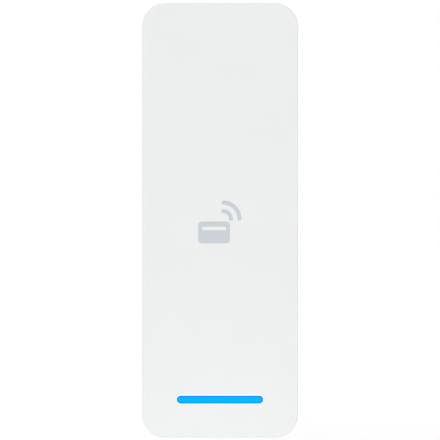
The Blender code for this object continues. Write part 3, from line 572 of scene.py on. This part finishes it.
def bridge(mesh_data, loops, closed=False):
    """Quads between neighbouring loops of vertices."""
    pairs = list(zip(loops, loops[1:]))
    if closed:
        pairs.append((loops[-1], loops[0]))
    for near, far in pairs:
        for i in range(len(near)):
            mesh_data.faces.new((near[i - 1], near[i], far[i], far[i - 1]))


def add_rod(mesh_data, rings):
    """A solid through a row of rings, with flat ends."""
    loops = [add_loop(mesh_data, ring) for ring in rings]
    bridge(mesh_data, loops)
    mesh_data.faces.new(loops[0])
    mesh_data.faces.new(loops[-1])


def fill_between(mesh_data, *loops):
    """A flat face inside the first closed loop, with the others as holes."""
    edges = []
    for loop in loops:
        for i, vert in enumerate(loop):
            ends = (loop[i - 1], vert)
            edges.append(mesh_data.edges.get(ends) or mesh_data.edges.new(ends))
    bmesh.ops.triangle_fill(mesh_data, use_beauty=True, edges=edges)


def refined(name, edge, material=None):
    """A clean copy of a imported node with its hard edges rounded, which replaces the node."""
    copy = bmesh.new()
    copy.from_mesh(nodes[name].data)
    bmesh.ops.remove_doubles(copy, verts=copy.verts, dist=MERGE_DISTANCE)
    bmesh.ops.dissolve_limit(copy, angle_limit=FLAT_BELOW, verts=copy.verts, edges=copy.edges)
    made = piece(f"{name}_finished", copy, slot_of[name], body_of[name], [name], material=material)
    if edge:
        rounding = made.modifiers.new("Rounded edges", "BEVEL")
        rounding.width = edge
        rounding.segments = 2
        rounding.limit_method = "ANGLE"
        rounding.angle_limit = HARD_ABOVE
        rounding.use_clamp_overlap = True
        rounding.harden_normals = True


# --- Casing ----------------------------------------------------------------------------------


def front_cover():
    """The face and flanks as one skin, the slot for the lens, the inside and its four bosses."""
    shell = bmesh.new()
    back_edge_radius, inside_radius = mm(0.2, 0.6)
    inside_y = FACE_Y + WALL
    outside = [(WALL, SEAM_Y), *reversed(quarter_round(0, SEAM_Y, back_edge_radius, -1, 3))]
    outside += quarter_round(0, FACE_Y, FACE_EDGE_RADIUS, 1, 8)
    inside = quarter_round(WALL, inside_y, inside_radius, 1, 4)
    rings = [add_loop(shell, casing_ring(inset, y)) for inset, y in outside]
    inner_rings = [add_loop(shell, casing_ring(inset, y)) for inset, y in inside]
    bridge(shell, [inner_rings[0], rings[0]])
    bridge(shell, rings)
    bridge(shell, inner_rings)

    # The slot, wide enough for the clear lip round the lens
    gap, cut = mm(0.35, 0.05)
    profile = [(gap + cut, FACE_Y), (gap, FACE_Y + cut), (gap, inside_y)]
    slot_rings = [add_loop(shell, bar_ring(grow, y)) for grow, y in profile]
    bridge(shell, slot_rings)
    fill_between(shell, rings[-1], slot_rings[0])

    # Bosses with a softened foot and rim, and a pilot hole
    radius, pilot, edge, hole_floor = mm(2.6, 1.15, 0.3, 2.5)
    boss_end = cover_high.y
    boss_profile = (
        (radius + edge, inside_y),
        (radius + edge * 0.3, inside_y + edge * 0.3),
        (radius, inside_y + edge),
        (radius, boss_end - edge),
        (radius - edge, boss_end),
        (pilot + edge / 2, boss_end),
        (pilot, boss_end - edge / 2),
        (pilot, inside_y + hole_floor),
    )
    feet = []
    for place in BOSS_PLACES:
        boss = [add_loop(shell, round_ring(place, size, y)) for size, y in boss_profile]
        bridge(shell, boss)
        shell.faces.new(boss[-1])
        feet.append(boss[0])
    fill_between(shell, inner_rings[-1], slot_rings[-1], *feet)
    flat_shading(piece("front_cover_finished", shell, "white_shell", "reader", ["front_cover"]))


def light_bar_pieces():
    """The lit lens with softly rounded front edges, and the clear lip around it."""
    lens = bmesh.new()
    edge_radius, flange_gap = mm(0.12, 0.3)
    flange_front = FACE_Y + WALL + flange_gap
    profile = [(FLANGE_GROW, lens_high.y), (FLANGE_GROW, flange_front), (0, flange_front)]
    profile += [(-inset, y) for inset, y in quarter_round(0, FACE_Y, edge_radius, 1, 4)]
    add_rod(lens, [bar_ring(grow, y) for grow, y in profile])
    flat_shading(piece("light_bar_lens_finished", lens, "light_bar", "reader", ["light_bar_lens"]))

    lip = bmesh.new()
    inner, outer, crown_height, depth = mm(0.05, 0.33, 0.08, 1.2)
    middle, half = (inner + outer) / 2, (outer - inner) / 2
    profile = [(outer, FACE_Y + depth)]
    for angle in (math.pi * step / 8 for step in range(9)):
        fall = crown_height * (1 - math.sin(angle))
        profile.append((middle + half * math.cos(angle), FACE_Y + fall))
    profile.append((inner, FACE_Y + depth))
    bridge(lip, [add_loop(lip, bar_ring(grow, y)) for grow, y in profile], closed=True)
    piece("light_bar_lip", lip, "white_shell", "reader", material=bar_surround())


# --- Print -----------------------------------------------------------------------------------

SIGN_MIDDLE = Vector(mm(0, -0.6))
CARD_MIDDLE = SIGN_MIDDLE + Vector(mm(-1.8, -3.0))
CARD_SHAPE = mm(9.6, 6.6, 1.1)  # width, height and corner radius
WINDOW_RISE = mm(1.2)  # of the strip left bare in the card, above the card's middle
WINDOW_SHAPE = mm(7.2, 1.1, 0.3)
WAVE_SOURCE = SIGN_MIDDLE + Vector(mm(0.9, 1.0))
WAVE_RADII = mm(2.4, 5.0)
WAVE_STROKE = mm(1.25)


def stroke_outline(path, width):
    """The outline of an even stroke with round ends along an open path of (x, z) points."""
    half = width / 2
    left, right = [], []
    for point, along in zip(path, headings(path)):
        aside = Vector((-along.y, along.x)) * half
        left.append(point + aside)
        right.append(point - aside)
    outline = left[:]
    for tip, start in ((path[-1], left[-1]), (path[0], right[0])):
        for step in range(1, 8):
            outline.append(tip + Matrix.Rotation(-math.pi * step / 8, 2) @ (start - tip))
        if tip is path[-1]:
            outline += right[::-1]
    return outline


def printed(name, outline, holes=()):
    """A film of ink on the face, with the outline's shape."""
    ink = bmesh.new()
    front, back = FACE_Y - mm(0.02), FACE_Y + mm(0.01)
    loops = [add_loop(ink, [(x, back, z) for x, z in loop]) for loop in (outline, *holes)]
    fill_between(ink, *loops)
    raised = bmesh.ops.extrude_face_region(ink, geom=ink.faces[:])["geom"]
    verts = [item for item in raised if isinstance(item, bmesh.types.BMVert)]
    bmesh.ops.translate(ink, verts=verts, vec=(0, front - back, 0))
    piece(name, ink, "face_print", "reader")


def card_sign():
    """The print in the middle of the face: a card, and two waves that spread from its corner."""
    card = rounded_rect(*CARD_SHAPE, 8, CARD_MIDDLE)
    window = rounded_rect(*WINDOW_SHAPE, 4, CARD_MIDDLE + Vector((0, WINDOW_RISE)))
    printed("print_card", card, [window])
    for number, radius in enumerate(WAVE_RADII, 1):
        angles = [math.radians(2 + 86 * step / 24) for step in range(25)]
        path = [WAVE_SOURCE + radius * Vector((math.cos(a), math.sin(a))) for a in angles]
        printed(f"print_wave_{number}", stroke_outline(path, WAVE_STROKE))


# --- Screws ----------------------------------------------------------------------------------


def thread_radius(along, length, shank_radius, pitch):
    """The radius of a thread at each angle. along is -length at the tip and 0 at the head."""
    tip_share, flank_slope = 0.55, 1.3  # a slope above 1 leaves flat roots between the threads
    taper = min(1.0, tip_share + (along + length) / (3 * shank_radius))
    depth = min(0.32 * pitch, 0.25 * shank_radius)

    def radius_at(angle):
        turn = (along / pitch - angle / (2 * math.pi)) % 1.0
        return taper * (shank_radius - depth * min(1.0, flank_slope * abs(2 * turn - 1)))

    return radius_at


def screw(name, heading, head_height, shank_radius, pitch, drive, pin=0.0):
    """A screw with a helical thread and a six-lobe drive, with or without a centre pin. It has
    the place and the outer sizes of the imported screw, and heading points out of its head."""
    low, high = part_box(name)
    out = Vector(heading)
    aside = Vector((1, 0, 0))
    across = out.cross(aside)
    half = (high - low) / 2
    length = 2 * abs(half.dot(out)) - head_height
    head_radius = half.x
    seat = (low + high) / 2 + out * (abs(half.dot(out)) - head_height)
    shape = bmesh.new()

    def ring(radius, along, segments=36):
        """A loop round the screw. The radius is a number, or a function of the angle."""
        points = []
        for angle in whole_turn(segments):
            reach = radius(angle) if callable(radius) else radius
            on_side = seat + aside * reach * math.cos(angle)
            points.append(on_side + across * reach * math.sin(angle) + out * along)
        return add_loop(shape, points)

    rings = []
    steps = round(8 * length / pitch)
    for step in range(steps):
        along = -length * (1 - step / steps)
        rings.append(ring(thread_radius(along, length, shank_radius, pitch), along))
    shape.faces.new(rings[0])

    # The head: a flat seat with a small cut at its edge, then a dome up to the drive
    cut = mm(0.08)
    rings += [ring(shank_radius, 0.0), ring(head_radius - cut, 0.0), ring(head_radius, cut)]
    dome = head_height * 0.42
    for angle in (math.radians(15 * step) for step in range(6)):
        crown = head_height - dome * (1 - math.sin(angle))
        rings.append(ring(head_radius - dome * 1.3 * (1 - math.cos(angle)), crown))
    bridge(shape, rings)

    def lobes(grow):
        return lambda angle: drive * (0.85 + 0.15 * math.cos(6 * angle)) + grow

    drive_floor = crown - drive * 0.75
    drive_profile = ((mm(0.05), crown), (0.0, crown - mm(0.06)), (-mm(0.04), drive_floor))
    drive_rings = [ring(lobes(grow), along, 72) for grow, along in drive_profile]
    bridge(shape, drive_rings)
    fill_between(shape, rings[-1], drive_rings[0])
    if pin:
        pin_profile = ((pin, drive_floor), (pin, crown - mm(0.15)), (pin * 0.75, crown - mm(0.08)))
        pin_rings = [ring(radius, along, 16) for radius, along in pin_profile]
        bridge(shape, pin_rings)
        shape.faces.new(pin_rings[-1])
        fill_between(shape, drive_rings[-1], pin_rings[0])
    else:
        shape.faces.new(drive_rings[-1])
    piece(f"{name}_finished", shape, slot_of[name], body_of[name], [name])


def screws():
    """Every screw. Each row: name, count, heading, then head height, shank radius, thread pitch,
    drive radius and, on the security screw, the radius of the pin in its drive."""
    for name, count, heading, sizes in (
        ("housing_screw", 4, (0, 1, 0), mm(1.3, 1.0, 0.9, 1.0)),
        ("board_screw", 4, (0, -1, 0), mm(0.9, 0.8, 0.7, 0.75)),
        ("led_board_screw", 2, (0, -1, 0), mm(0.8, 0.7, 0.6, 0.55)),
    ):
        for number in range(1, count + 1):
            screw(f"{name}_{number}", heading, *sizes)
    screw("security_screw", (0, 0, -1), *mm(1.3, 1.45, 0.5, 1.5, 0.4))


def tamper_spring():
    """The plunger's spring, of round wire with closed ends."""
    low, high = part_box("tamper_spring")
    middle = (low + high) / 2
    wire_radius = mm(0.19)
    radius = (high.x - low.x) / 2 - wire_radius
    start, end = low.y + wire_radius, high.y - wire_radius
    turns, steps, end_closing = 4.5, 216, 0.08
    rings = []
    for step in range(steps + 1):
        share = step / steps
        angle = 2 * math.pi * turns * share
        # The first and last turn lie nearly flat
        along = start + (end - start) * (share - end_closing * math.sin(2 * math.pi * share))
        spoke = Vector((math.cos(angle), 0, math.sin(angle)))
        centre = Vector((middle.x, along, middle.z)) + spoke * radius
        round_wire = [spoke * math.cos(a) + Vector((0, math.sin(a), 0)) for a in whole_turn(10)]
        rings.append([centre + wire_radius * side for side in round_wire])
    coil = bmesh.new()
    add_rod(coil, rings)
    spring = piece("tamper_spring_finished", coil, "spring_steel", "reader", ["tamper_spring"])
    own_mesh(spring)


# --- Circuit details -------------------------------------------------------------------------


def add_block(mesh_data, low, high, edge):
    """A box with slightly cut edges, added to a mesh."""
    verts = add_loop(mesh_data, itertools.product(*zip(low, high)))
    sides = ((0, 1, 3, 2), (4, 6, 7, 5), (0, 4, 5, 1), (2, 3, 7, 6), (0, 2, 6, 4), (1, 5, 7, 3))
    faces = [mesh_data.faces.new([verts[i] for i in side]) for side in sides]
    edges = {line for face in faces for line in face.edges}
    bmesh.ops.bevel(mesh_data, geom=list(edges), offset=edge, segments=1, affect="EDGES")


def chip_leads(node, directions, pitch):
    """Gull-wing leads from some sides of a chip down to the back of the main board."""
    low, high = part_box(node)
    middle = (low + high) / 2
    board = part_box("main_board")[1].y
    leads = bmesh.new()
    width, thickness, corner_gap = mm(0.34, 0.14, 0.5)
    # The middle of a lead, as (distance out of the chip, height over the board)
    rise = middle.y - board
    path = [Vector(point) for point in ((0, rise), (mm(0.35), rise), mm(0.6, 0.09), mm(1.15, 0.09))]
    lift = Vector((0, thickness / 2))
    outline = [point + lift for point in path] + [point - lift for point in reversed(path)]
    for direction in directions:
        outward = Vector(direction)
        along = Vector((abs(outward.z), 0, abs(outward.x)))
        edge_half = abs((high - low).dot(outward)) / 2
        row_length = (high - low).dot(along) - 2 * corner_gap
        count = int(row_length / pitch) + 1
        for number in range(count):
            foot = Vector((middle.x, board, middle.z)) + outward * edge_half
            foot += along * (number - (count - 1) / 2) * pitch
            ends = []
            for side in (-width / 2, width / 2):
                start = foot + along * side
                ends.append([start + outward * point.x + Vector((0, point.y, 0)) for point in outline])
            add_rod(leads, ends)
    piece(f"{node}_leads", leads, "tin_plate", "reader")


def small_board_parts():
    """Resistors and capacitors soldered on both sides of the main board, clear of all else."""
    draw = random.Random(7)
    board_low, board_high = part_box("main_board")
    bodies = {slot: bmesh.new() for slot in ("dark_plastic", "connector", "tin_plate")}
    pitch, shift, first, last = mm(2.9, 0.35, 2.2, 2.0)
    gap, reach, margin, clearance = mm(0.05, 0.55, 1.3, 0.3)
    cap_length, cap_proud = mm(0.28, 0.03)
    around = ("main_board", "front_cover", "rear_housing")
    others = [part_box(name) for name in nodes if name not in around]
    for surface, outward in ((board_low.y, -1), (board_high.y, 1)):
        near, far = sorted((surface + outward * gap, surface + outward * reach))
        x = board_low.x + first
        while x < board_high.x - last:
            z = board_low.z + first
            while z < board_high.z - last:
                at_x, at_z = x + draw.uniform(-1, 1) * shift, z + draw.uniform(-1, 1) * shift
                upright, resistor = draw.random() < 0.5, draw.random() < 0.5
                wanted = draw.random() < 0.62
                z += pitch
                blocked = any(
                    low.x - margin < at_x < high.x + margin
                    and low.z - margin < at_z < high.z + margin
                    and low.y < far + clearance
                    and high.y > near - clearance
                    for low, high in others
                )
                if blocked or not wanted:
                    continue
                long, wide = mm(1.0, 0.55) if resistor else mm(1.6, 0.8)
                end = Vector((0, 0, 1)) if upright else Vector((1, 0, 0))
                side = Vector((1, 0, 1)) - end
                centre = Vector((at_x, 0, at_z))
                middle_half = end * (long / 2 - cap_length) + side * wide / 2
                slot = "dark_plastic" if resistor else "connector"
                add_part(bodies[slot], centre, middle_half, near, far)
                cap_half = end * cap_length / 2 + side * (wide / 2 + cap_proud)
                for sign in (-1, 1):
                    cap_centre = centre + end * sign * (long - cap_length) / 2
                    add_part(bodies["tin_plate"], cap_centre, cap_half, near, far)
            x += pitch
    piece("chip_resistors", bodies["dark_plastic"], "dark_plastic", "reader")
    piece("chip_capacitors", bodies["connector"], "connector", "reader")
    piece("chip_ends", bodies["tin_plate"], "tin_plate", "reader")


def add_part(mesh_data, centre, half, near, far):
    """A block over a rectangle of the board, between two depths."""
    low, high = centre - half, centre + half
    add_block(mesh_data, (low.x, near, low.z), (high.x, far, high.z), mm(0.05))


def rounded_path(corners, radius, steps=4):
    """An open line through corners, with each inner corner turned into an arc."""
    points = [Vector(corners[0])]
    for before, corner, after in zip(corners, corners[1:], corners[2:]):
        corner = Vector(corner)
        arriving = (corner - Vector(before)).normalized()
        leaving = (Vector(after) - corner).normalized()
        turn = arriving.angle_signed(leaving)
        start = corner - arriving * radius * math.tan(abs(turn) / 2)
        centre = corner + (leaving - arriving).normalized() * radius / math.cos(turn / 2)
        for step in range(steps + 1):
            points.append(centre + Matrix.Rotation(-turn * step / steps, 2) @ (start - centre))
    points.append(Vector(corners[-1]))
    return points


def socket_contacts():
    """Eight round spring wires, each bent back at the socket's mouth, in a black comb."""
    low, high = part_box("jack_contacts")
    middle_x = (low.x + high.x) / 2
    wire, pitch, bend_radius = mm(0.22, 1.02, 0.3)
    front, back = low.y + wire / 2, high.y - wire / 2
    mouth = low.z + wire
    corners = [(front, high.z - mm(3.5)), (front, mouth), (front + mm(0.75), mouth)]
    corners += [(back, high.z - mm(1.5)), (back, high.z)]
    path = rounded_path(corners, bend_radius)
    wires = bmesh.new()
    for number in range(8):
        rings = []
        for point, along in zip(path, headings(path)):
            aside = Vector((0, -along.y, along.x))
            centre = Vector((middle_x + pitch * (number - 3.5), point.x, point.y))
            round_wire = [Vector((1, 0, 0)) * math.cos(a) + aside * math.sin(a) for a in whole_turn(8)]
            rings.append([centre + wire / 2 * side for side in round_wire])
        add_rod(wires, rings)
    piece("jack_contacts_finished", wires, "gold_plate", "reader", ["jack_contacts"])

    # Teeth between the wires, on a bar along the socket's front wall
    comb = bmesh.new()
    bar_end, bar_depth, tooth_depth, tooth_gap = mm(0.4, 0.1, 0.5, 0.12)
    bar_low, bar_high = low.z + mm(0.7), low.z + mm(2.2)
    bar_corner = (low.x - bar_end, low.y - bar_depth, bar_low)
    add_block(comb, bar_corner, (high.x + bar_end, low.y, bar_high), mm(0.03))
    half = (pitch - wire) / 2 - tooth_gap
    for number in range(9):
        x = middle_x + pitch * (number - 4)
        add_block(comb, (x - half, low.y, bar_low), (x + half, low.y + tooth_depth, bar_high), mm(0.05))
    piece("contact_comb", comb, "dark_plastic", "reader")


def transformer_tape():
    """The insulating tape wound round the middle of the transformer."""
    low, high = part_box("power_transformer")
    tape = bmesh.new()
    proud, corner_radius = mm(0.12, 0.35)
    depth = high.y - low.y
    near, far = low.y + depth * 0.30, high.y - depth * 0.22
    loops = []
    for grow, y in ((0.0, near), (proud, near), (proud, far), (0.0, far)):
        width, height = high.x - low.x + 2 * grow, high.z - low.z + 2 * grow
        middle = ((low.x + high.x) / 2, (low.z + high.z) / 2)
        outline = rounded_rect(width, height, corner_radius + grow, 4, middle)
        loops.append(add_loop(tape, [(x, y, z) for x, z in outline]))
    bridge(tape, loops, closed=True)
    amber = moulded("transformer_tape", (0.62, 0.40, 0.03), (0.2, 0.35), spread=0.06)
    piece("transformer_tape", tape, "antenna_film", "reader", material=amber)


# --- Stage -----------------------------------------------------------------------------------

# Strengths of the light, set by comparing renders with the photo
SURROUND_LIGHT = 0.71
BAND_DIMMING = 0.75  # the share of that light which the darkest bands lack
FLOOR_GLOW = 0.36  # what the camera sees of the floor's own light
FLOOR_SPILL = 0.22  # how much of it falls on the reader
KEY_LIGHT = 0.65
LOW_LIGHT = 0.0022
TOWARDS_KEY = Vector((-0.3, -1.0, 0.55))


def lay_floor():
    """A pale floor below the reader, with a little light of its own."""
    below_foot = mm(40)
    bpy.ops.mesh.primitive_plane_add(size=40, location=(0, 0, foot_z - below_foot))
    floor = bpy.context.object
    floor.name = "floor"
    shade = Shading("floor", 0.9, Specular_IOR_Level=0.0)
    shade.set("Emission Color", (1, 1, 1, 1))
    seen = shade.add("ShaderNodeLightPath").outputs["Is Camera Ray"]
    shade.link(shade.span(seen, FLOOR_SPILL, FLOOR_GLOW), shade.surface.inputs["Emission Strength"])
    shade.colour(shade.ramp(shade.noise(0.6), (0.3, (0.90, 0.90, 0.90)), (0.7, (0.92, 0.92, 0.92))))
    floor.data.materials.append(shade.material)


def surround():
    """A bright world that the camera sees as white. It lights the face evenly. Beyond the wall
    side it has soft darker bands, so that metal there has something to reflect."""
    world = bpy.data.worlds.new("surround")
    world.use_nodes = True
    sky = NodeTree(world.node_tree)
    direction = sky.add("ShaderNodeTexCoord").outputs["Generated"]
    x, y, z = sky.add("ShaderNodeSeparateXYZ", Vector=direction).outputs
    behind = sky.span(y, 0.0, 1.0, start=0.05, end=0.6)
    slant = sky.math("MULTIPLY_ADD", z, 4.5, sky.math("MULTIPLY", x, 3.0))
    dimming = sky.span(sky.math("SINE", slant), BAND_DIMMING, 0.0, start=-0.6, end=0.6)
    dimmed = sky.math("MULTIPLY", dimming, behind)
    light = sky.math("MULTIPLY_ADD", dimmed, -SURROUND_LIGHT, SURROUND_LIGHT)
    seen = sky.add("ShaderNodeLightPath").outputs["Is Camera Ray"]
    background = sky.tree.nodes["Background"]
    background.inputs["Color"].default_value = (1, 1, 1, 1)
    sky.link(sky.span(seen, light, 1.0), background.inputs["Strength"])
    bpy.context.scene.world = world


def add_lamp(name, kind, strength, place, aim):
    """A light at a place that shines towards an aim. Only the direction matters for a sun."""
    data = bpy.data.lights.new(name, kind)
    data.energy = strength
    lamp = bpy.data.objects.new(name, data)
    lamp.location = place
    lamp.rotation_euler = (aim - place).to_track_quat("-Z", "Y").to_euler()
    bpy.context.scene.collection.objects.link(lamp)
    return lamp


def lamps():
    """A soft sun from the upper left, and a small light below that lifts the foot of the face."""
    key = add_lamp("key", "SUN", KEY_LIGHT, TOWARDS_KEY, Vector())
    key.data.angle = math.radians(40)
    place = Vector((0, FACE_Y - mm(50), foot_z - mm(22)))
    low = add_lamp("low_light", "AREA", LOW_LIGHT, place, Vector((0, FACE_Y, mm(-50))))
    low.data.size = mm(60)
    low.visible_camera = False


def camera():
    """A long lens, level with the middle of the face, that frames it with a sliver to spare."""
    lens, sensor = 100, 36
    spare_share, lift = 1 / 87, mm(0.15)
    distance = BODY_HEIGHT * (1 + spare_share) * lens / sensor
    data = bpy.data.cameras.new("camera")
    data.lens = lens
    data.sensor_width = sensor
    data.clip_start = 0.01
    data.clip_end = 100
    eye = bpy.data.objects.new("camera", data)
    eye.location = (0, FACE_Y - distance, lift)
    eye.rotation_euler = (math.pi / 2, 0, 0)
    bpy.context.scene.collection.objects.link(eye)
    bpy.context.scene.camera = eye


# --- All together ----------------------------------------------------------------------------

# Nodes that main() handles by name, and the screws
REMADE = {"front_cover", "light_bar_lens", "tamper_spring", "jack_contacts", "rj45_jack"}
REMADE |= {name for name in nodes if "screw" in name and "washer" not in name}
ALL_SIDES = ((1, 0, 0), (-1, 0, 0), (0, 0, 1), (0, 0, -1))
CHIP_LEADS = (
    # node, the sides that have leads, pitch
    ("processor_chip", ALL_SIDES, mm(0.8)),
    ("memory_chip", ALL_SIDES[:2], mm(1.27)),
    ("ethernet_magnetics", ALL_SIDES[2:], mm(1.27)),
)
USUAL_EDGE = mm(0.1)
EDGES = {
    # the edge radius of the nodes that differ from the usual
    "rear_housing": mm(0.15),
    "wall_plate": mm(0.12),
    "antenna_coil": 0,
    "flex_cable": 0,
    "rating_label": 0,
    "vent_membrane": mm(0.04),
    "antenna_board": mm(0.03),
    "ferrite_sheet": mm(0.03),
    "clinch_nut": mm(0.06),
    "screw_washer": mm(0.08),
    "led_flex_connector": mm(0.05),
    **{f"led_{number}": mm(0.04) for number in range(1, 5)},
}


def main():
    scene = bpy.context.scene
    scene.view_settings.view_transform = "Standard"
    camera()
    lay_floor()
    surround()
    lamps()
    front_cover()
    light_bar_pieces()
    card_sign()
    screws()
    small_board_parts()
    transformer_tape()
    tamper_spring()
    socket_contacts()
    refined("rj45_jack", USUAL_EDGE, socket_shield())
    for node, directions, pitch in CHIP_LEADS:
        chip_leads(node, directions, pitch)
    for name in sorted(set(nodes) - REMADE):
        refined(name, EDGES.get(name, USUAL_EDGE))


main()
